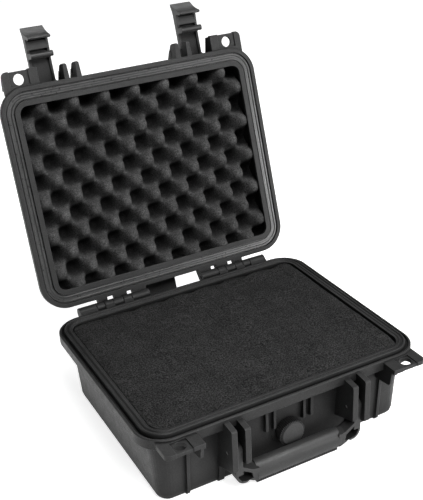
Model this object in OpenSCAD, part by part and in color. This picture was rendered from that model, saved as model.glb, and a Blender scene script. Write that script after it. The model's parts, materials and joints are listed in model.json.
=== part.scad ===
// Small hard equipment case: a hinged two-part shell with foam, a seal, two lever
// latches, a folding handle and a screw-down pressure valve. The lid stands open.
// X runs along the hinge, the front faces -Y, and Z = 0 is the underside of the base.

/* [Shell] */
// Length of the sealing line along X
seal_l = 248; // [246:1:256]
// Depth of the sealing line along Y
seal_w = 194; // [190:1:200]
// Corner radius of the sealing line
seal_r = 17; // [15:1:19]
// Height of the parting plane above the underside
part_z = 75; // [75:1:80]
// Height of the lid above the parting plane
lid_h = 49; // [47:1:55]
// Wall thickness of both shells
wall = 3; // [2.5:0.1:3.2]

/* [Lid hinge] */
// How far the lid stands open, in degrees
lid_open = 107; // [95:1:110]
// Distance from the sealing line back to the hinge axis
hinge_back = 15.5; // [15.3:0.1:16.5]
// Distance of the hinge axis below the parting plane
hinge_drop = 3.2; // [3:0.1:3.4]
// Outer radius of a hinge knuckle
knuckle_r = 5; // [4.6:0.1:5.1]

/* [Latches] */
// Distance of each latch's middle from the middle of the case
latch_x = 78.3; // [78.1:0.1:78.5]
// Width of a latch
latch_w = 22; // [21:0.2:22.2]

/* [Handle] */
// Width of each handle arm
arm_w = 6.4; // [6:0.1:6.5]
// Height of the handle's pivot above the underside
handle_z = 43.4; // [43:0.1:44]

/* [Valve] */
// Diameter of the valve knob
knob_d = 24; // [22:0.5:25]
// Height of the valve above the underside
valve_z = 31; // [30.5:0.5:32]

/* [Pins] */
// Diameter of the steel pins
pin_d = 3; // [2.6:0.1:3.2]
// Radial running clearance round a pin
pin_gap = 0.05; // [0.02:0.01:0.1]

/* [Hidden] */
$fn = 64;
shell_black = "#2c2c2e";
part_black = "#343436";
foam_black = "#202022";
rubber_black = "#1c1c1d";
steel = "#b8babd";

// Half sizes of the sealing line, and the heights of the rims
sx = seal_l / 2;
sy = seal_w / 2;
skirt_t = 8.7;
skirt_y = sy + skirt_t;
skirt_low = part_z - 11;
skirt_top = part_z - 1.8;
lid_edge_t = 8.3;
lid_flange_top = part_z + 7;
lid_top = part_z + lid_h;
rim_in_t = 9.2;

// Hinge
hinge_y = sy + hinge_back;
hinge_z = part_z - hinge_drop;
bore_r = pin_d / 2 + pin_gap;
base_knuckles = [[48, 57], [67.5, 76.5], [85, 102.5]];
lid_knuckles = [[29.5, 47.7], [57.3, 67.2], [76.8, 84.7]];
see_through = [[43.5, 50], [63, 70.5], [80, 86.5]];
knuckle_clear = 0.45;
knuckle_space = 0.8;

// Plates and tabs along the front
inner_plate = [49.2, 54.3];
outer_plate = [61.4, 66.4];
plate_front = -sy - 21.9;
tab_x = [90, 123.6];
tab_wall = 2.5;
tab_front = -sy - 23.6;
tab_round = 5;
hole_x = 108;
hole_y = -sy - 15.2;
hole_r = 5.2;
pocket_deep = 1.2;
pocket_back = -sy - 9.6;

// Pivots
handle_y = -sy - 12.5;
arm_x = (inner_plate[1] + outer_plate[0]) / 2;
latch_y = -sy - 2;
latch_z = part_z + 17;

// Valve, all measured outwards from the face it seals on
valve_face = -sy + 3.2;
valve_boss_r = 15;
valve_bore = 5.05;
valve_inside = -sy + 9.5;
knob_r = knob_d / 2;
valve_gasket_y = valve_face - 1;
valve_flange_y = valve_gasket_y - 1.5;
ring_minor = 0.95;
ring_major = 5;
knob_in = valve_flange_y - 2 * ring_minor - 0.1;
knob_out = knob_in - 5;
stem_r = 3.4;
knob_wall = 2.8;
flange_r = knob_r - knob_wall - 0.5;

// Grip of the handle
grip_y = handle_y + 5.5;
grip_z = 13.5;
grip_r = 10.5;
grip_wall = 2.5;
grip_half = 41;

// Latch lever
lever_back = latch_z + 13;
lever_wall = 2.3;

// Foam
foam_gap = 0.4;
pad_top = 14;
pluck_top = part_z - 1;
lid_foam_low = part_z + 1.2;

// Shared shapes

// Rounded rectangle, t outside the sealing line
module outline(t) {
    rr = max(seal_r + t, 3);
    square([2 * (sx + t - rr), 2 * (sy + t)], center = true);
    square([2 * (sx + t), 2 * (sy + t - rr)], center = true);
    for (i = [-1, 1], j = [-1, 1])
        translate([i * (sx + t - rr), j * (sy + t - rr)]) circle(rr, $fn = 32);
}

module slab(t, z, h = 0.1) {
    translate([0, 0, z]) linear_extrude(h) outline(t);
}

// Sweeps a flat profile, drawn as (offset, height), round the sealing line
module around_seal() {
    cx = sx - seal_r;
    cy = sy - seal_r;
    for (turn = [0, 180]) {
        rotate(turn) translate([sx, cy, 0]) rotate([90, 0, 0]) linear_extrude(2 * cy) children();
        rotate(turn + 90) translate([sy, cx, 0]) rotate([90, 0, 0]) linear_extrude(2 * cx) children();
    }
    for (c = [[cx, cy, 0], [-cx, cy, 90], [-cx, -cy, 180], [cx, -cy, 270]])
        translate([c[0], c[1], 0]) rotate(c[2]) rotate_extrude(angle = 90, $fn = 96)
            translate([seal_r, 0]) children();
}

// Extrudes a side profile, drawn as (Y, Z), between two X positions
module across(x) {
    translate([x[0], 0, 0]) rotate([90, 0, 90]) linear_extrude(x[1] - x[0]) children();
}

module x_rod(x, y, z, r) {
    translate([x[0], y, z]) rotate([0, 90, 0]) cylinder(r = r, h = x[1] - x[0]);
}

// A rod or ring along -Y, from y0 outwards to y1
module y_rod(x, z, y0, y1, r) {
    translate([x, y0, z]) rotate([90, 0, 0]) cylinder(r = r, h = y0 - y1);
}

module both_sides() {
    children();
    mirror([1, 0, 0]) children();
}

// Turns the closed lid about the hinge into its open place
module opened() {
    translate([0, hinge_y, hinge_z]) rotate([-lid_open, 0, 0])
        translate([0, -hinge_y, -hinge_z]) children();
}

// Base

module base_rim_profile() {
    ridge = 1.1;
    difference() {
        union() {
            polygon([[-4, part_z - 16], [-1.2, part_z - 16], [-1.2, part_z - 5.4],
                [skirt_t - 2.8, part_z - 5.4], [skirt_t - 2.8, skirt_low], [skirt_t, skirt_low],
                [skirt_t, skirt_top - 0.6], [skirt_t - 0.6, skirt_top], [6.7, skirt_top],
                [6.3, skirt_top - 2.4], [4, skirt_top - 2.4], [3.5, part_z - 0.3],
                [-2.2, part_z - 0.3], [-4, part_z - 0.8]]);
            translate([2.4, part_z - 0.5]) circle(ridge, $fn = 32);
            translate([-1.2, part_z - 0.6]) circle(ridge, $fn = 32);
        }
        translate([0.6, part_z + 0.5]) circle(ridge, $fn = 32);
    }
}

module base_tub_outer() {
    hull() {
        slab(-11, 0);
        slab(-8.2, 0.8);
        slab(-6.4, 2.8);
        slab(-5.4, 6);
        slab(-1.4, part_z - 8);
    }
}

module base_tub_inner() {
    hull() {
        slab(-13, wall);
        slab(-5.4 - wall, 3 * wall);
        slab(-1 - wall, part_z + 2);
    }
}

// Flat plates that guard the latches and carry the handle
module handle_plate(x, low_front, low_back, top) {
    across(x) polygon([[-sy + 4, low_back], [plate_front, low_front],
        [plate_front, top - 1], [plate_front + 1, top], [-skirt_y + 1, top + 1.2],
        [-sy + 4, top + 1.2]]);
}

// Plan of a padlock tab, back to a line clear of the seal or into the wall
module tab_plan(back) {
    difference() {
        translate([tab_x[0], tab_front])
            square([tab_x[1] - tab_x[0], back - tab_front]);
        translate([tab_x[1] - tab_round, tab_front + tab_round]) difference() {
            translate([0, -2 * tab_round]) square(2 * tab_round);
            circle(tab_round);
        }
    }
}

// Shallow pocket round a padlock hole, open to the front
module padlock_pocket(x, z) {
    translate([x[0], tab_front - 1, z])
        cube([x[1] - x[0], pocket_back - tab_front + 1, pocket_deep]);
    translate([x[0], tab_front - 1, z - 10]) cube([x[1] - x[0], 1.7, 20]);
}

module padlock_tab_base() {
    top = part_z - 3.8;
    thick = 4.6;
    difference() {
        union() {
            translate([0, 0, top - thick]) linear_extrude(thick) tab_plan(-sy + 2);
            across([tab_x[0], tab_x[0] + tab_wall]) polygon([[-sy + 5, part_z - 25],
                [tab_front + 8, part_z - 22.5], [tab_front + 5.5, part_z - 21],
                [tab_front + 3, top - 2], [tab_front + 3, top], [-sy + 5, top]]);
            across([tab_x[0] + 3, tab_x[1] - 6]) polygon([[-sy + 4, part_z - 18],
                [-sy - 8, top - thick], [-sy + 4, top - thick]]);
        }
        padlock_pocket([100, 114.5], top - pocket_deep);
        across([tab_x[0] + tab_wall, tab_x[1] + 1]) polygon([[tab_front - 1, top - thick - 1],
            [tab_front + 4, top - thick - 1], [tab_front - 1, top - 3.4]]);
    }
}

// Upright rib that follows the wall's draft, stands proud of it by out and has a round foot
module wall_rib(x, out, top) {
    foot_y = -sy + 5.4 - out;
    draft = 4 / (part_z - 14);
    foot_r = 5;
    across(x) polygon(concat(
        [[-sy + 9, 1.2]],
        [for (a = [0:15:75]) [foot_y + foot_r - foot_r * sin(a), 1.2 + foot_r - foot_r * cos(a)]],
        [[foot_y, 1.2 + foot_r], [foot_y - draft * (top - 6), top], [-sy + 5, top]]));
}

module base_hinge_arm() {
    polygon([[sy, hinge_z - 15], [sy + 7.5, hinge_z - 12], [hinge_y + 1.5, hinge_z - 4.7],
        [hinge_y, hinge_z], [hinge_y - 4, hinge_z + 3], [sy + 6, skirt_top - 1.7],
        [sy, skirt_top - 4]]);
}

module base_front() {
    both_sides() {
        handle_plate(inner_plate, 34, 25, part_z - 7);
        handle_plate(outer_plate, 29.5, 19.5, part_z - 5.2);
        padlock_tab_base();
        // Solid ledge over which the latch hooks
        translate([outer_plate[1] - 1, -skirt_y + 1, skirt_low])
            cube([tab_x[0] - outer_plate[1] + 2, 16, part_z - 5 - skirt_low]);
        wall_rib([93.4, 96], 2.6, part_z - 10);
        wall_rib(outer_plate, 2.4, 34);
        for (x = [[13.4, 15.6], [20.8, 23.2]])
            across(x) polygon([[-sy + 5, part_z - 39], [-sy - 1.2, part_z - 36],
                [-sy - 1.2, part_z - 10], [-sy + 5, part_z - 10]]);
    }
    // Thicker wall panel behind the handle
    across([-inner_plate[0], inner_plate[0]]) polygon([[-sy + 7, 36], [-sy + 3.4, 37],
        [-sy + 2.6, part_z - 8], [-sy + 7, part_z - 8]]);
    y_rod(0, valve_z, -sy + 9, valve_face, valve_boss_r);
}

module base_back() {
    both_sides() for (x = base_knuckles) {
        x_rod(x, hinge_y, hinge_z, knuckle_r);
        across(x) base_hinge_arm();
    }
    both_sides() for (x = [52.5, 72, 88, 99])
        across([x - 1.5, x + 1.5]) polygon([[sy - 6, 24], [sy - 4.5, 24], [hinge_y - 1, hinge_z - 6],
            [sy + 2, hinge_z - 6], [sy - 4, hinge_z - 8]]);
}

module base_shell() {
    color(shell_black) difference() {
        union() {
            base_tub_outer();
            around_seal() base_rim_profile();
            base_front();
            base_back();
        }
        base_tub_inner();
        both_sides() {
            x_rod([base_knuckles[0][0] - 1, base_knuckles[2][1] - 2], hinge_y, hinge_z, bore_r);
            for (x = lid_knuckles)
                x_rod([x[0] - knuckle_space, x[1] + knuckle_space], hinge_y, hinge_z,
                    knuckle_r + knuckle_clear);
            x_rod([inner_plate[0] - 1, outer_plate[1] + 1], handle_y, handle_z, bore_r);
            translate([hole_x, hole_y, part_z - 30]) cylinder(r = hole_r, h = 30);
        }
        y_rod(0, valve_z, 0, -sy - 5, valve_bore);
        y_rod(0, valve_z, 0, valve_inside - 3, 10.5);
    }
}

module floor_pad() {
    color(foam_black) translate([0, 0, wall + foam_gap]) linear_extrude(pad_top - wall - foam_gap)
        outline(-13.6);
}

module pluck_foam() {
    color(foam_black) difference() {
        hull() {
            slab(-8.9, pad_top + foam_gap);
            slab(-5.3, pluck_top - 0.1);
        }
        // Relief for the valve's inside nut
        translate([-12, -sy, valve_z - 12]) cube([24, 18, 24]);
    }
}

module hinge_pin() {
    x_rod([lid_knuckles[0][0] + 1, base_knuckles[2][1] - 3], hinge_y, hinge_z, pin_d / 2);
}

module hinge_pin_right() {
    color(steel) hinge_pin();
}

module hinge_pin_left() {
    color(steel) mirror([1, 0, 0]) hinge_pin();
}

// Valve

module valve_flange_gasket() {
    color(rubber_black) difference() {
        y_rod(0, valve_z, valve_face, valve_gasket_y, flange_r);
        y_rod(0, valve_z, valve_face + 1, valve_gasket_y - 1, 5.2);
    }
}

module valve_insert() {
    color(part_black) difference() {
        union() {
            y_rod(0, valve_z, valve_gasket_y, valve_flange_y, flange_r);
            y_rod(0, valve_z, valve_inside + 5, valve_gasket_y, 5);
        }
        y_rod(0, valve_z, valve_inside + 6, valve_flange_y - 1, stem_r + 0.08);
    }
}

module valve_nut() {
    color(part_black) difference() {
        translate([0, valve_inside + 4, valve_z]) rotate([90, 0, 0])
            cylinder(r = 9, h = 7 - 0.05, $fn = 6);
        y_rod(0, valve_z, valve_inside + 5, valve_inside - 4, 5.02);
    }
}

module valve_seal_ring() {
    color(rubber_black) translate([0, valve_flange_y - ring_minor - 0.05, valve_z]) rotate([90, 0, 0])
        rotate_extrude() translate([ring_major, 0]) circle(ring_minor, $fn = 24);
}

module valve_knob() {
    grip_n = 44;
    back = valve_face - 0.6;
    color(part_black) difference() {
        union() {
            y_rod(0, valve_z, back, knob_out + 0.7, knob_r - 1.3);
            y_rod(0, valve_z, knob_out + 0.8, knob_out, knob_r - 1.9);
            y_rod(0, valve_z, valve_inside + 4, knob_in, stem_r);
            for (k = [0:grip_n - 1])
                translate([0, back, valve_z]) rotate([90, 0, 0]) rotate(k * 360 / grip_n)
                    translate([knob_r - 2, -0.4, 0]) cube([2, 0.8, back - knob_out - 1.2]);
        }
        difference() {
            y_rod(0, valve_z, valve_face + 1, knob_in, knob_r - knob_wall);
            y_rod(0, valve_z, valve_face + 2, knob_in - 1, stem_r);
        }
    }
}

// Handle

// Open arc, from over the back of the grip round its front to the lower lip
module grip_section() {
    difference() {
        translate([grip_y, grip_z]) circle(grip_r, $fn = 96);
        translate([grip_y, grip_z]) circle(grip_r - grip_wall, $fn = 96);
        translate([grip_y, grip_z]) polygon([[-3, 30], [-0.05, 0], [-30, -29.95], [30, -30],
            [30, 30]]);
    }
}

// One arm, and the hollow corner that joins it to the grip under a sloping web
module handle_end() {
    x = [arm_x - arm_w / 2, arm_x + arm_w / 2];
    front = handle_y - 4.6;
    back = handle_y + 4.2;
    hub_r = 5.4;
    bend_r = 9;
    web = 1.6;
    rim = [[grip_half - 1, 19], [x[0] - 8.6, 20.4], [x[0] - 4, 23.2], [x[0] + 1, 26.6]];
    crest = [[grip_half - 1, 21.4], [x[0] - 8.6, 22.8], [x[0] - 4, 25.6], [x[0] + 1, 28.6]];
    x_rod(x, handle_y, handle_z, hub_r);
    across(x) polygon([[front, handle_z - 8], [handle_y - hub_r, handle_z],
        [handle_y + hub_r, handle_z], [back, handle_z - 10], [back, 20], [front, 20]]);
    for (i = [0:2]) hull() for (k = [i, i + 1]) {
        translate([rim[k][0], front + web / 2, rim[k][1]]) cube(web, center = true);
        translate([crest[k][0], back - web / 2, crest[k][1]]) cube(web, center = true);
    }
    difference() {
        translate([0, back, 0]) rotate([90, 0, 0]) linear_extrude(back - front)
            polygon(concat(rim, [[x[1], 33]],
                [for (a = [0:15:90]) [x[1] - bend_r + bend_r * cos(a), 19.5 - bend_r * sin(a)]],
                [[x[0] - 3.6, 10.6], [x[0] - 5.6, 12], [x[0] - 9, 10], [grip_half - 1, 8]]));
        translate([0, back - 2, 0]) rotate([90, 0, 0]) linear_extrude(back - front)
            polygon([[x[0] - 9.4, 12.6], [x[0] - 8.2, 18.2], [x[0] - 3.6, 21.4], [x[0] + 1, 24.2],
                [x[0] + 4.2, 22.6], [x[0] + 4.6, 18], [x[0] + 1.6, 13.4], [x[0] - 2.6, 12.2]]);
    }
}

module handle() {
    color(part_black) difference() {
        union() {
            across([-grip_half, grip_half]) grip_section();
            both_sides() handle_end();
        }
        both_sides() x_rod([arm_x - 5, arm_x + 5], handle_y, handle_z, bore_r);
    }
}

// Ribbed strip along the underside of the grip
module handle_grip_insert() {
    half = grip_half - 1.1;
    front = grip_y - 6.6;
    back = grip_y - 0.6;
    low = 2.2;
    top = 6.2;
    rib_n = 40;
    pitch = (2 * half - 1) / rib_n;
    color(part_black) difference() {
        across([-half, half]) polygon([[front, low + 0.5], [front + 0.5, low], [back, low],
            [back, 15], [back - 2.4, 15], [back - 2.4, top], [front, top]]);
        for (k = [0:rib_n - 1])
            translate([-half + 1 + k * pitch, front - 1, low - 1]) cube([pitch / 2, 1.6, 8]);
    }
}

module handle_pin() {
    x_rod([inner_plate[0] + 0.3, outer_plate[1] - 0.3], handle_y, handle_z, pin_d / 2);
}

module handle_pin_right() {
    color(steel) handle_pin();
}

module handle_pin_left() {
    color(steel) mirror([1, 0, 0]) handle_pin();
}

// Lid, drawn closed and then turned open

module lid_flange_profile() {
    difference() {
        polygon([[-rim_in_t, part_z], [lid_edge_t - 0.6, part_z], [lid_edge_t, part_z + 0.6],
            [lid_edge_t, lid_flange_top - 1], [lid_edge_t - 1, lid_flange_top],
            [-3, lid_flange_top], [-4.5, part_z + 4.5], [-rim_in_t, part_z + 3.4]]);
        translate([-4.3, part_z - 1]) square([8.4, 4]);
    }
}

module lid_outer() {
    hull() {
        slab(-1.4, part_z + 4);
        slab(-1.8, part_z + 22);
        slab(-4.2, lid_top - 8);
        slab(-5.6, lid_top - 3.6);
        slab(-8, lid_top - 1);
        slab(-10.6, lid_top - 0.1);
    }
}

module lid_inner() {
    hull() {
        slab(-rim_in_t, part_z - 1);
        slab(-rim_in_t, part_z + 3);
    }
    hull() {
        slab(-1.8 - wall, part_z + 3.2);
        slab(-5 - wall, lid_top - 9);
        slab(-10.6, lid_top - wall);
    }
}

// Tapered fins beside each latch; they carry the latch pins
module lid_fin(x) {
    mid = (x[0] + x[1]) / 2;
    tip = -sy - 22.4;
    tip_r = 1.8;
    intersection() {
        across(x) polygon([[-sy + 3, lid_flange_top - 1], [-sy - 7.6, lid_flange_top - 1],
            [-sy - 7.6, part_z + 0.4], [tip + 1.4, part_z + 0.4], [tip, part_z + 2],
            [tip, part_z + 10], [tip + 1.6, part_z + 12], [-sy - 6.4, part_z + 22.5],
            [-sy + 3, part_z + 25]]);
        union() {
            linear_extrude(lid_top) polygon([[x[0], -sy + 4], [x[0], -sy - 7],
                [mid - tip_r, tip + tip_r], [mid + tip_r, tip + tip_r], [x[1], -sy - 7],
                [x[1], -sy + 4]]);
            translate([mid, tip + tip_r, 0]) cylinder(r = tip_r, h = lid_top, $fn = 32);
            translate([x[0], tip + 6, part_z + 12]) cube([x[1] - x[0], 30, 30]);
        }
    }
}

module padlock_tab_lid() {
    low = part_z + 2.4;
    thick = 4.4;
    difference() {
        union() {
            translate([0, 0, low]) linear_extrude(thick) tab_plan(-sy - lid_edge_t + 0.5);
            translate([0, 0, low]) linear_extrude(thick) difference() {
                translate([tab_x[1] - 12, tab_front + 8]) square([12, 24]);
                outline(lid_edge_t - 1);
            }
            across([tab_x[0], tab_x[0] + tab_wall]) polygon([[-sy - 7.8, low],
                [tab_front + 1, low], [tab_front + 1, part_z + 13], [-sy - 6.4, part_z + 19.5],
                [-sy - 4, part_z + 23], [-sy + 3, part_z + 25], [-sy + 3, lid_flange_top - 1],
                [-sy - 7.8, lid_flange_top - 1]]);
            across([tab_x[1] - tab_wall, tab_x[1]]) polygon([[-sy - 7, low + 1],
                [tab_front + 6, low + 1], [tab_front + 6, part_z + 8], [-sy - 7, part_z + 11]]);
        }
        padlock_pocket([98.5, 117], low);
    }
}

module lid_hinge_block() {
    difference() {
        across([lid_knuckles[0][0], lid_knuckles[2][1]]) polygon([[sy + 5, part_z + 0.1],
            [sy + 11.2, part_z + 0.1], [hinge_y + 4.3, hinge_z + 2.6], [hinge_y + 3.6, hinge_z + 6],
            [sy + 11, lid_flange_top], [sy + 5, lid_flange_top]]);
        for (x = see_through)
            translate([x[0], sy + lid_edge_t, part_z - 2]) cube([x[1] - x[0], 30, 30]);
        for (x = base_knuckles)
            x_rod([x[0] - knuckle_space, x[1] + knuckle_space], hinge_y, hinge_z,
                    knuckle_r + knuckle_clear);
    }
    for (x = lid_knuckles) x_rod(x, hinge_y, hinge_z, knuckle_r);
    // Web that closes each knuckle against its part of the block
    for (x = [[29.5, 43.5], [57.3, 63], [76.8, 80]])
        across(x) polygon([[sy + 10.6, part_z + 0.1], [hinge_y - 1, hinge_z], [hinge_y + 4.3, hinge_z + 2.6],
            [hinge_y + 3.6, hinge_z + 6]]);
}

module lid_closed() {
    difference() {
        union() {
            difference() {
                union() {
                    lid_outer();
                    around_seal() lid_flange_profile();
                }
                lid_inner();
            }
            around_seal() lid_flange_profile();
            both_sides() {
                lid_fin(inner_plate);
                lid_fin(outer_plate);
                padlock_tab_lid();
                lid_hinge_block();
                // Raised bands across the top
                translate([34, -sy + 12, lid_top - 1]) cube([44, 2 * sy - 24, 2.4]);
                for (x = [52.5, 72, 88, 99]) across([x - 1.5, x + 1.5]) polygon([
                    [sy - 2, part_z + 5], [sy + 5, part_z + 5], [sy + 5, part_z + 7],
                    [sy - 5, part_z + 34]]);
            }
            // Standing foot on the back
            translate([-20, sy - 8, part_z + 26]) cube([33, 36, 13]);
        }
        both_sides() {
            x_rod([lid_knuckles[0][0] - 1, lid_knuckles[2][1] + 1], hinge_y, hinge_z, bore_r);
            x_rod([outer_plate[0] - 1, tab_x[0] + tab_wall + 1], latch_y, latch_z, bore_r);
            translate([hole_x, hole_y, part_z]) cylinder(r = hole_r, h = 12);
        }
    }
}

module lid_shell() {
    color(shell_black) opened() lid_closed();
}

module gasket_profile() {
    base = part_z + 2.9;
    crest = part_z + 2.1;
    translate([-3.9, part_z + 1.6]) square([7.7, base - part_z - 1.6]);
    for (t = [-2.2, 2.1]) translate([t, crest]) circle(1.5, $fn = 32);
}

module lid_gasket() {
    color(rubber_black) opened() around_seal() intersection() {
        gasket_profile();
        translate([-5, part_z + 0.7]) square([10, 2.2]);
    }
}

module lid_foam() {
    color(foam_black) opened() hull() {
        slab(-rim_in_t - 0.6, lid_foam_low);
        slab(-rim_in_t - 0.6, lid_top - 14);
        slab(-12.6, lid_top - wall - 0.5);
    }
}

// Latches, drawn swung out from the closed lid

module latch_profile() {
    // Root, back, hook web, panel and finger scoop
    polygon([[latch_y + 3.15, latch_z + 0.5], [latch_y + 3, latch_z + 9],
        [latch_y + 0.5, lever_back], [-sy - 49, lever_back], [-sy - 54, lever_back + 0.5],
        [-sy - 58.5, lever_back + 2.4], [-sy - 60.6, lever_back + 2.6], [-sy - 61.2, lever_back + 1.6],
        [-sy - 58.4, lever_back - 1.8], [-sy - 55.8, lever_back - 5.4], [-sy - 53.6, lever_back - 9.4],
        [-sy - 52, lever_back - 13.4], [-sy - 51, lever_back - 16.2], [-sy - 48.8, lever_back - 16.4],
        [-sy - 48.4, lever_back - 14], [-sy - 49.8, lever_back - 9], [-sy - 49.9, lever_back - 3],
        [-sy - 47.6, lever_back - 3], [-sy - 47.6, lever_back - 6.4], [-sy - 39.6, lever_back - 6.4],
        [-sy - 39.6, lever_back - 2.6], [-sy - 36.6, lever_back - 2.6], [-sy - 36.6, lever_back - 13],
        [-sy - 31.4, lever_back - 14.4], [-sy - 31.4, lever_back - 4.5], [-sy - 10, lever_back - 4.5],
        [latch_y - 3.1, latch_z - 0.7]]);
}

module latch_closed_lid() {
    x = [latch_x - latch_w / 2, latch_x + latch_w / 2];
    difference() {
        union() {
            difference() {
                across(x) latch_profile();
                // Channel down the inside of the lever
                across([x[0] + lever_wall, x[1] - lever_wall]) polygon([
                    [-sy - 31, lever_back - 2.4], [-sy - 31, lever_back - 20],
                    [-sy - 5.6, lever_back - 20], [-sy - 5.6, lever_back - 2.4]]);
            }
            x_rod(x, -sy - 34, lever_back - 12.9, 2.8);
            x_rod(x, latch_y, latch_z, 3.2);
            x_rod(x, -sy - 49.9, lever_back - 16.1, 1.3);
            // Side walls across the recesses
            for (s = [[x[0], x[0] + lever_wall], [x[1] - lever_wall, x[1]]])
                across(s) polygon([[-sy - 31, lever_back - 1], [-sy - 31, lever_back - 5.5],
                    [-sy - 50.4, lever_back - 7.2], [-sy - 50.4, lever_back - 1]]);
        }
        x_rod([x[0] - 1, x[1] + 1], latch_y, latch_z, bore_r);
    }
}

module latch_right() {
    color(part_black) opened() latch_closed_lid();
}

module latch_left() {
    color(part_black) opened() mirror([1, 0, 0]) latch_closed_lid();
}

module latch_pin() {
    x_rod([outer_plate[0] + 0.3, tab_x[0] + tab_wall - 0.3], latch_y, latch_z, pin_d / 2);
}

module latch_pin_right() {
    color(steel) opened() latch_pin();
}

module latch_pin_left() {
    color(steel) opened() mirror([1, 0, 0]) latch_pin();
}

base_shell();
floor_pad();
pluck_foam();
hinge_pin_left();
hinge_pin_right();
valve_insert();
valve_nut();
valve_flange_gasket();
valve_seal_ring();
valve_knob();
handle();
handle_grip_insert();
handle_pin_left();
handle_pin_right();
lid_shell();
lid_gasket();
lid_foam();
latch_left();
latch_right();
latch_pin_left();
latch_pin_right();
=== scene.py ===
import json
import math

import bmesh
import bpy
from mathutils import Matrix, Vector, noise


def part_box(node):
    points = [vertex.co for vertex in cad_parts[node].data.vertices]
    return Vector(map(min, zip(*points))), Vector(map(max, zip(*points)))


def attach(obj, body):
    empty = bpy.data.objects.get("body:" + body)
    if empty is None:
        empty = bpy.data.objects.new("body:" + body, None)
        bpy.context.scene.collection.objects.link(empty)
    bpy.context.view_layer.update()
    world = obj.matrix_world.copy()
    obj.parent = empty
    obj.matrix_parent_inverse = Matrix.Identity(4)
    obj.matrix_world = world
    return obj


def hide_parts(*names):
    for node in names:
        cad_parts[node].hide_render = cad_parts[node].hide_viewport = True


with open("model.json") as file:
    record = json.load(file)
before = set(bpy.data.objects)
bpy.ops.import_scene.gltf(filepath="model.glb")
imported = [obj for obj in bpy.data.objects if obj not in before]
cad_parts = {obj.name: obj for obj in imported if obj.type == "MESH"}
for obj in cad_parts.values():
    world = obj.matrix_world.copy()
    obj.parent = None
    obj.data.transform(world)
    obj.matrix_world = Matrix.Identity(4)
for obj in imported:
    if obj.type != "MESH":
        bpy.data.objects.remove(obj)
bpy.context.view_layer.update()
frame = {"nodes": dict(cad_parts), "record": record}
nodes = frame["nodes"]
joints = {j["name"]: j for j in frame["record"]["behaviour"]["joints"]}

MM = 0.001


# ---------------------------------------------------------------- the lid's own frame

LID_OPEN = math.radians(107)
hinge = Vector(joints["lid_hinge"]["pos_m"])
LID = Matrix.Translation(hinge) @ Matrix.Rotation(-LID_OPEN, 4, "X") @ Matrix.Translation(-hinge)


# ---------------------------------------------------------------- materials
# Noise and Voronoi scales are per metre, bump heights and radii in metres.

NODE_SAMPLES = 6
# Reach of the plastic's ambient occlusion, which paints shade into narrow spaces.
PLASTIC_OCCLUSION_REACH = 0.03
PLASTIC_BUMP = 0.00012
RUBBER_BUMP = 0.00006
FOAM_BUMP = 0.0006
STEEL_BUMP = 0.00005


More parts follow.
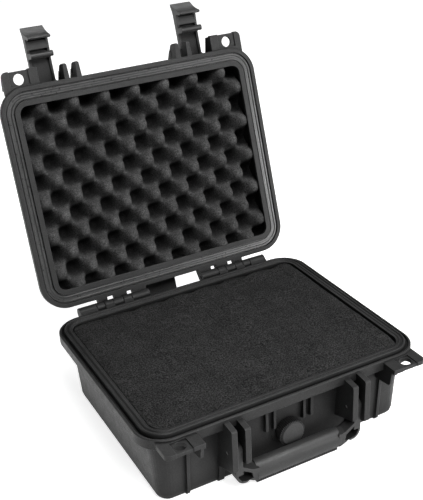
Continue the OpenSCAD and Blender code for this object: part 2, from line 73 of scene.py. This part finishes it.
class Tree:
    """Short names for building a node material."""

    def __init__(self, name):
        self.mat = bpy.data.materials.new(name)
        self.mat.use_nodes = True
        self.nt = self.mat.node_tree
        self.nt.nodes.clear()
        self.out = self.nt.nodes.new("ShaderNodeOutputMaterial")
        self.bsdf = self.nt.nodes.new("ShaderNodeBsdfPrincipled")
        self.link(self.bsdf.outputs[0], self.out.inputs["Surface"])
        self.coord = self.nt.nodes.new("ShaderNodeTexCoord").outputs["Object"]

    def link(self, a, b):
        self.nt.links.new(a, b)

    def set(self, **values):
        for key, value in values.items():
            self.bsdf.inputs[key.replace("_", " ")].default_value = value

    def noise(self, scale, detail=2.0, rough=0.5, vector=None):
        n = self.nt.nodes.new("ShaderNodeTexNoise")
        n.inputs["Scale"].default_value = scale
        n.inputs["Detail"].default_value = detail
        n.inputs["Roughness"].default_value = rough
        self.link(vector or self.coord, n.inputs["Vector"])
        return n.outputs["Fac"]

    def voronoi(self, scale, feature="F1"):
        n = self.nt.nodes.new("ShaderNodeTexVoronoi")
        n.feature = feature
        n.inputs["Scale"].default_value = scale
        self.link(self.coord, n.inputs["Vector"])
        return n.outputs["Distance"]

    def ramp(self, fac, stops):
        n = self.nt.nodes.new("ShaderNodeValToRGB")
        r = n.color_ramp
        while len(r.elements) < len(stops):
            r.elements.new(0.5)
        for el, (pos, col) in zip(r.elements, stops):
            el.position = pos
            c = (col, col, col) if isinstance(col, (int, float)) else col
            el.color = (*c, 1)
        self.link(fac, n.inputs["Fac"])
        return n.outputs["Color"]

    def math(self, op, a, b=None):
        n = self.nt.nodes.new("ShaderNodeMath")
        n.operation = op
        for socket, v in zip(n.inputs, (a, b)):
            if v is None:
                continue
            if isinstance(v, (int, float)):
                socket.default_value = v
            else:
                self.link(v, socket)
        return n.outputs[0]

    def mix(self, fac, a, b, blend="MIX"):
        n = self.nt.nodes.new("ShaderNodeMix")
        n.data_type = "RGBA"
        n.blend_type = blend
        for socket, v in ((n.inputs[0], fac), (n.inputs[6], a), (n.inputs[7], b)):
            if isinstance(v, (int, float)):
                socket.default_value = v
            elif isinstance(v, tuple):
                socket.default_value = (*v, 1)
            else:
                self.link(v, socket)
        return n.outputs[2]

    def bevel(self, radius):
        n = self.nt.nodes.new("ShaderNodeBevel")
        n.samples = NODE_SAMPLES
        n.inputs["Radius"].default_value = radius
        return n.outputs["Normal"]

    def bump(self, height, distance, strength=1.0, normal=None):
        n = self.nt.nodes.new("ShaderNodeBump")
        n.inputs["Strength"].default_value = strength
        n.inputs["Distance"].default_value = distance
        self.link(height, n.inputs["Height"])
        if normal:
            self.link(normal, n.inputs["Normal"])
        return n.outputs["Normal"]

    def edges(self, rounded):
        """1 where the rounded normal leaves the true one, which is along an edge."""
        true = self.nt.nodes.new("ShaderNodeNewGeometry").outputs["Normal"]
        n = self.nt.nodes.new("ShaderNodeVectorMath")
        n.operation = "DOT_PRODUCT"
        self.link(rounded, n.inputs[0])
        self.link(true, n.inputs[1])
        return self.ramp(n.outputs["Value"], [(0.82, 1.0), (0.985, 0.0)])

    def ambient_occlusion(self, distance):
        """Ambient occlusion: 0 deep in a narrow space, 1 on an open face. The plastic paints shade
        with it.
        """
        n = self.nt.nodes.new("ShaderNodeAmbientOcclusion")
        n.samples = NODE_SAMPLES
        n.inputs["Distance"].default_value = distance
        return n.outputs["AO"]


def plastic(name, base, rough, gloss, grain=1.0, edge=0.0006):
    """Moulded black plastic: spark-eroded grain, cloudy tone, edges lightened as rubbed wear and
    painted highlight, painted shade in gaps.
    edge is the radius that the shading gives to sharp edges."""
    t = Tree(name)
    cloud = t.noise(38, 3, 0.55)
    mottle = t.noise(1100, 2, 0.6)
    fine = t.noise(2600, 2, 0.6)
    tone = t.ramp(cloud, [(0.3, base * 0.82), (0.7, base * 1.22)])
    speck = t.ramp(mottle, [(0.32, 0.7), (0.7, 1.35)])
    colour = t.mix(1.0, tone, speck, "MULTIPLY")
    rounded = t.bevel(edge)
    occlusion = t.ambient_occlusion(PLASTIC_OCCLUSION_REACH)
    # Sharp open edges lightened in the base colour: partly rubbed wear, partly painted highlight.
    edge_wear_and_highlight = t.math("MULTIPLY", t.edges(rounded), t.ramp(occlusion, [(0.3, 0.0), (0.62, 0.75)]))
    colour = t.mix(edge_wear_and_highlight, colour, (base * 4.5, base * 4.5, base * 4.6))
    # Painted shade: the base colour darkened where ambient occlusion finds a narrow space.
    colour = t.mix(1.0, colour, t.ramp(occlusion, [(0.3, 0.03), (0.88, 1.0)]), "MULTIPLY")
    t.link(colour, t.bsdf.inputs["Base Color"])
    patchy = t.ramp(t.noise(150, 3), [(0.3, rough - 0.05), (0.7, rough + 0.06)])
    duller = t.mix(t.math("SUBTRACT", 1.0, occlusion), patchy, (0.8, 0.8, 0.8))
    t.link(duller, t.bsdf.inputs["Roughness"])
    height = t.math("ADD", fine, mottle)
    t.link(t.bump(height, PLASTIC_BUMP * grain, 0.8, rounded), t.bsdf.inputs["Normal"])
    t.bsdf.inputs["Specular IOR Level"].default_value = gloss
    return t.mat


def rubber(name):
    """Soft black rubber with a waxy gloss and fine dust."""
    t = Tree(name)
    dust = t.ramp(t.noise(700, 3), [(0.45, 0.0), (0.75, 0.35)])
    tone = t.ramp(t.noise(60, 3), [(0.3, 0.018), (0.7, 0.032)])
    t.link(t.mix(dust, tone, (0.06, 0.06, 0.06)), t.bsdf.inputs["Base Color"])
    t.link(t.ramp(t.noise(400, 2), [(0.3, 0.26), (0.7, 0.4)]), t.bsdf.inputs["Roughness"])
    t.link(t.bump(t.noise(1800, 2), RUBBER_BUMP, 0.5), t.bsdf.inputs["Normal"])
    t.bsdf.inputs["Specular IOR Level"].default_value = 0.7
    return t.mat


def foam(name, base, speckle, height_shade=None):
    """Open-cell foam: pits and bright cell walls. A height attribute, when given, paints shade into
    its hollows.
    """
    t = Tree(name)
    pores = t.noise(820, 3, 0.8)
    cells = t.voronoi(1000)
    cloud = t.noise(26, 3)
    patch = t.noise(110, 4, 0.65)
    tone = t.ramp(cloud, [(0.3, base * 0.85), (0.7, base * 1.15)])
    tone = t.mix(1.0, tone, t.ramp(patch, [(0.35, 0.84), (0.65, 1.16)]), "MULTIPLY")
    speck = t.ramp(pores, [(0.36, 1 - speckle), (0.5, 1.0), (0.66, 1 + 1.8 * speckle)])
    colour = t.mix(1.0, tone, speck, "MULTIPLY")
    if height_shade:
        depth = t.nt.nodes.new("ShaderNodeAttribute")
        depth.attribute_name = height_shade
        # Painted shade: the hollows darkened by their height below the peaks.
        shade = t.ramp(depth.outputs["Fac"], [(0.08, 0.12), (0.33, 0.42), (0.62, 1.0)])
        colour = t.mix(1.0, colour, shade, "MULTIPLY")
    t.link(colour, t.bsdf.inputs["Base Color"])
    t.set(Roughness=0.95)
    t.bsdf.inputs["Specular IOR Level"].default_value = 0.1
    height = t.math("ADD", pores, t.math("MULTIPLY", cells, 0.5))
    t.link(t.bump(height, FOAM_BUMP, 0.8), t.bsdf.inputs["Normal"])
    return t.mat


def steel(name):
    """Drawn steel wire with uneven shine."""
    t = Tree(name)
    t.set(Metallic=1.0)
    t.link(t.ramp(t.noise(500, 3), [(0.3, 0.42), (0.7, 0.6)]), t.bsdf.inputs["Base Color"])
    t.link(t.ramp(t.noise(900, 2), [(0.3, 0.22), (0.7, 0.42)]), t.bsdf.inputs["Roughness"])
    t.link(t.bump(t.noise(1500, 2), STEEL_BUMP, 0.5), t.bsdf.inputs["Normal"])
    return t.mat


SHELL = plastic("shell_plastic", 0.022, 0.46, 0.24)
MOULD = plastic("moulded_plastic", 0.021, 0.38, 0.42, 0.6)
RUBBER = rubber("seal_rubber")
BASE_FOAM = foam("pluck_foam", 0.023, 0.95)
LID_FOAM = foam("egg_crate_foam", 0.06, 0.6, "height_shade")
STEEL = steel("pin_steel")


def dress(name, material):
    """Gives a CAD node's object one procedural material."""
    ob = nodes[name]
    ob.data.materials.clear()
    ob.data.materials.append(material)


for name in ("base_shell", "lid_shell"):
    dress(name, SHELL)
for name in ("handle", "handle_grip_insert", "latch_left", "latch_right", "valve_knob",
             "valve_insert", "valve_nut"):
    dress(name, MOULD)
for name in ("lid_gasket", "valve_flange_gasket", "valve_seal_ring"):
    dress(name, RUBBER)
for name in ("hinge_pin_left", "hinge_pin_right", "handle_pin_left", "handle_pin_right",
             "latch_pin_left", "latch_pin_right"):
    dress(name, STEEL)


# ---------------------------------------------------------------- mesh helpers

def new_object(name, verts, faces, material):
    """A smooth-shaded object from a list of points and faces, normals outward."""
    me = bpy.data.meshes.new(name)
    me.from_pydata([tuple(v) for v in verts], [], faces)
    me.validate()
    bm = bmesh.new()
    bm.from_mesh(me)
    bmesh.ops.recalc_face_normals(bm, faces=bm.faces)
    bm.to_mesh(me)
    bm.free()
    me.materials.append(material)
    for p in me.polygons:
        p.use_smooth = True
    ob = bpy.data.objects.new(name, me)
    bpy.context.collection.objects.link(ob)
    return ob


def round_corner(x, y, cx, cy, r):
    """Bends a square corner's grid onto a quarter circle of radius r about (cx, cy)."""
    dx, dy = abs(x) - cx, abs(y) - cy
    if dx <= 0 or dy <= 0:
        return x, y
    k = max(dx, dy) / math.hypot(dx, dy)
    return math.copysign(cx + dx * k, x), math.copysign(cy + dy * k, y)


def block(name, xs, ys, r, top, sides, material, place):
    """A closed foam block. top(x, y) is its upper height, sides the levels down its
    walls as (height or None, inset), and place turns (x, y, z) into the row frame."""
    nx, ny = len(xs), len(ys)
    hx, hy = max(xs), max(ys)
    cx, cy = hx - r, hy - r
    verts, faces = [], []
    index = {}
    for j, y in enumerate(ys):
        for i, x in enumerate(xs):
            px, py = round_corner(x, y, cx, cy, r)
            index[i, j] = len(verts)
            verts.append((px, py, top(px, py)))
    for j in range(ny - 1):
        for i in range(nx - 1):
            faces.append((index[i, j], index[i + 1, j], index[i + 1, j + 1], index[i, j + 1]))
    ring = [(i, 0) for i in range(nx)] + [(nx - 1, j) for j in range(1, ny)]
    ring += [(i, ny - 1) for i in range(nx - 2, -1, -1)] + [(0, j) for j in range(ny - 2, 0, -1)]
    last = [index[c] for c in ring]
    for level, inset in sides:
        row = []
        for c in ring:
            x, y, z = verts[index[c]]
            row.append(len(verts))
            verts.append((x * (1 - inset / hx), y * (1 - inset / hy), level))
        n = len(ring)
        faces += [(last[k], row[k], row[(k + 1) % n], last[(k + 1) % n]) for k in range(n)]
        last = row
    faces.append(tuple(reversed(last)))
    return new_object(name, [place(v) for v in verts], faces, material)


def spread(lo, hi, step):
    """Even grid lines from lo to hi, about step apart."""
    n = max(2, round((hi - lo) / step))
    return [lo + (hi - lo) * k / n for k in range(n + 1)]


# ---------------------------------------------------------------- base foam

lo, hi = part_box("pluck_foam")
pad_x, pad_y = hi.x / MM, hi.y / MM
pad_z = hi.z / MM
pad_low = lo.z / MM
FOAM_CORNER_R = 11
# Knife cuts: their pitch, the grid lines laid about each, their half width, and their
# depth in the two directions.
CUT = 15.0
CUT_LINES = (-1.5, -0.5, 0, 0.5, 1.5, 4, 7.5, 11)
CUT_HALF_WIDTH = 0.5
CUT_DEEP, CUT_SHALLOW = 0.5, 0.3
# Finger notches along the back edge: their places, width, depth and reach.
NOTCHES = [-56, -25, 6.5, 37, 68, 97]
NOTCH_WIDTH, NOTCH_DEEP, NOTCH_REACH = 5.5, 3.2, 8


def scored(half):
    """Grid lines close together beside each knife cut, and wide in between."""
    out = [-half, -half + 0.8]
    k = -math.floor((half - 3) / CUT)
    while k * CUT < half - 3:
        for d in CUT_LINES:
            v = k * CUT + d
            if abs(v) < half - 1.2:
                out.append(v)
        k += 1
    out += [half - 0.8, half]
    return sorted(set(round(v, 3) for v in out))


def base_top(x, y):
    """Height of the scored face: cuts, squares a little uneven, edges rounded over."""
    gx, gy = (abs((v + CUT / 2) % CUT - CUT / 2) for v in (x, y))
    cut = (CUT_DEEP * max(0, 1 - gx / CUT_HALF_WIDTH)
           + CUT_SHALLOW * max(0, 1 - gy / CUT_HALF_WIDTH))
    cell = noise.cell(Vector((math.floor(x / CUT), math.floor(y / CUT), 3))) - 0.5
    wave = noise.noise(Vector((x / 40, y / 40, 0)))
    edge = min(pad_x - abs(x), pad_y - abs(y))
    crown = -1.2 * max(0, 1 - edge / 2.5) ** 2
    return pad_z - 0.5 + 0.3 * cell + 0.5 * wave - cut + crown


def base_place(v):
    """Draws the back edge in at the finger notches."""
    x, y, z = v
    if y > pad_y - NOTCH_REACH:
        dip = sum(math.exp(-((x - c) / NOTCH_WIDTH) ** 2) for c in NOTCHES)
        y -= NOTCH_DEEP * dip * (y - pad_y + NOTCH_REACH) / NOTCH_REACH
    return Vector((x, y, z)) * MM


base_foam = block("base_foam_block", scored(pad_x), scored(pad_y), FOAM_CORNER_R, base_top,
                  [(pad_z - 3, 0), (pad_z - 20, 0.6), (pad_low + 1, 2.2), (pad_low, 3.2)],
                  BASE_FOAM, base_place)
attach(base_foam, "base")
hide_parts("pluck_foam")

lo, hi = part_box("floor_pad")
FLOOR_STEP, FLOOR_CORNER_R = 6, 6


def floor_top(x, y):
    return hi.z / MM - 0.3 + 0.25 * noise.noise(Vector((x / 25, y / 25, 5)))


floor_foam = block("floor_foam_pad", spread(lo.x / MM, hi.x / MM, FLOOR_STEP),
                   spread(lo.y / MM, hi.y / MM, FLOOR_STEP), FLOOR_CORNER_R, floor_top,
                   [(lo.z / MM + 1, 0), (lo.z / MM, 1)], BASE_FOAM, lambda v: Vector(v) * MM)
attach(floor_foam, "base")
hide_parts("floor_pad")


# ---------------------------------------------------------------- lid foam

# Sizes with the lid shut: pitch of the pattern, one of its peaks, the foam's half
# sizes, its lowest and highest level, and the depth of its hollows.
EGG_X, EGG_Y = 31.4, 34.5
PEAK = (-45.3, -31.7)
LID_FOAM_X, LID_FOAM_Y = 118.0, 91.0
LID_PEAK_Z, LID_ROOT_Z = 76.2, 121.0
EGG_DEEP = 26.0
EGG_STEP, EGG_CORNER_R = 1.5, 9


def ease(v, lo, hi):
    """A smooth step from 0 at lo to 1 at hi."""
    v = min(1, max(0, (v - lo) / (hi - lo)))
    return v * v * (3 - 2 * v)


def peak(x, y):
    """1 on a peak of the egg crate, 0 at the bottom of a hollow."""
    along = math.cos(2 * math.pi * (x - PEAK[0]) / EGG_X)
    across = math.cos(2 * math.pi * (y - PEAK[1]) / EGG_Y)
    f = 0.5 + 0.5 * (along * across)
    return 0.45 * f + 0.55 * ease(f, 0.12, 0.86)


def egg(x, y):
    """Closed-lid height of the foam's face: peaks low, near the rim, hollows high."""
    return LID_PEAK_Z + EGG_DEEP * (1 - peak(x, y)) + 0.6 * noise.noise(Vector((x / 30, y / 30, 9)))


egg_foam = block("egg_crate_foam", spread(-LID_FOAM_X, LID_FOAM_X, EGG_STEP),
                 spread(-LID_FOAM_Y, LID_FOAM_Y, EGG_STEP), EGG_CORNER_R, egg,
                 [(100, 0), (LID_ROOT_Z - 8, 2), (LID_ROOT_Z, 5)], LID_FOAM,
                 lambda v: LID @ (Vector(v) * MM))
# 1 on the peaks, 0 in the hollows, for the painted shade in the foam's hollows.
height_shade = egg_foam.data.attributes.new("height_shade", "FLOAT", "POINT")
to_closed = LID.inverted()
for point, value in zip(egg_foam.data.vertices, height_shade.data):
    flat = to_closed @ point.co / MM
    value.value = 1 - min(1, max(0, (flat.z - LID_PEAK_Z) / EGG_DEEP))
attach(egg_foam, "lid")
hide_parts("lid_foam")


# ---------------------------------------------------------------- floor, light and camera

SKY = 0.1
FLOOR_HALF, FLOOR_CELLS = 4, 40
FLOOR_GLOW = 0.8
# Name, place, aim, size in metres and watts of each soft light.
SOFTBOXES = (
    ("key", (0.2, -1.3, 1.6), (0, 0, 0.12), (1.3, 0.8), 44),
    ("back", (0.3, 0.9, 1.4), (0, 0, 0.1), (1.2, 0.6), 8),
    ("front", (1.4, -1.5, 0.4), (0, 0, 0.12), (1.1, 0.5), 21),
    ("left", (-1.5, 1.3, 0.5), (0, 0, 0.1), (1.0, 0.6), 3),
)
# The photograph's camera: lens and sensor in mm, angles in degrees, the rest in metres.
LENS, SENSOR = 66.83, 36
AZIMUTH, ELEVATION, ROLL = -27.166, 27.010, -2.834
TARGET, DISTANCE = (-0.01504, 0, 0.1635), 0.78962


def studio_floor():
    bm = bmesh.new()
    bmesh.ops.create_grid(bm, x_segments=FLOOR_CELLS, y_segments=FLOOR_CELLS, size=FLOOR_HALF)
    me = bpy.data.meshes.new("studio_floor")
    bm.to_mesh(me)
    bm.free()
    ob = bpy.data.objects.new("studio_floor", me)
    bpy.context.collection.objects.link(ob)
    t = Tree("pale_floor")
    t.link(t.ramp(t.noise(3, 2), [(0.0, 0.74), (1.0, 0.78)]), t.bsdf.inputs["Base Color"])
    t.set(Roughness=1.0)
    t.bsdf.inputs["Emission Color"].default_value = (1, 1, 1, 1)
    t.bsdf.inputs["Emission Strength"].default_value = FLOOR_GLOW
    me.materials.append(t.mat)
    ob.visible_diffuse = False


def sky():
    """A dim sky, darker below, which lights the case, and a white backdrop for the camera."""
    world = bpy.data.worlds.new("studio")
    bpy.context.scene.world = world
    world.use_nodes = True
    nt = world.node_tree
    direction = nt.nodes.new("ShaderNodeTexCoord").outputs["Generated"]
    split = nt.nodes.new("ShaderNodeSeparateXYZ")
    ramp = nt.nodes.new("ShaderNodeValToRGB")
    for el, (pos, level) in zip(ramp.color_ramp.elements, ((0.0, 0.02), (0.35, 1.0))):
        el.position = pos
        el.color = (level, level, level, 1)
    nt.links.new(direction, split.inputs[0])
    nt.links.new(split.outputs["Z"], ramp.inputs["Fac"])
    bg = nt.nodes["Background"]
    nt.links.new(ramp.outputs["Color"], bg.inputs["Color"])
    bg.inputs["Strength"].default_value = SKY
    backdrop = nt.nodes.new("ShaderNodeBackground")
    backdrop.inputs["Color"].default_value = (1, 1, 1, 1)
    seen = nt.nodes.new("ShaderNodeLightPath").outputs["Is Camera Ray"]
    both = nt.nodes.new("ShaderNodeMixShader")
    nt.links.new(seen, both.inputs[0])
    nt.links.new(bg.outputs[0], both.inputs[1])
    nt.links.new(backdrop.outputs[0], both.inputs[2])
    nt.links.new(both.outputs[0], nt.nodes["World Output"].inputs["Surface"])
    bpy.context.scene.view_settings.view_transform = "Standard"


def softbox(name, place, aim, size, power):
    """A rectangular area light at place that faces aim."""
    data = bpy.data.lights.new(name, "AREA")
    data.shape = "RECTANGLE"
    data.size, data.size_y = size
    data.energy = power
    ob = bpy.data.objects.new(name, data)
    bpy.context.collection.objects.link(ob)
    ob.location = place
    ob.rotation_mode = "QUATERNION"
    ob.rotation_quaternion = (Vector(aim) - Vector(place)).to_track_quat("-Z", "Y")


def camera():
    data = bpy.data.cameras.new("camera")
    data.sensor_width = SENSOR
    data.lens = LENS
    ob = bpy.data.objects.new("camera", data)
    bpy.context.collection.objects.link(ob)
    az, el, roll = (math.radians(v) for v in (AZIMUTH, ELEVATION, ROLL))
    back = Vector((math.sin(az) * math.cos(el), -math.cos(az) * math.cos(el), math.sin(el)))
    level_right = Vector((math.cos(az), math.sin(az), 0))
    level_up = back.cross(level_right)
    right = level_right * math.cos(roll) + level_up * math.sin(roll)
    up = level_up * math.cos(roll) - level_right * math.sin(roll)
    rot = Matrix((right, up, back)).transposed().to_4x4()
    ob.matrix_world = Matrix.Translation(Vector(TARGET) + back * DISTANCE) @ rot
    bpy.context.scene.camera = ob


studio_floor()
sky()
for light in SOFTBOXES:
    softbox(*light)
camera()
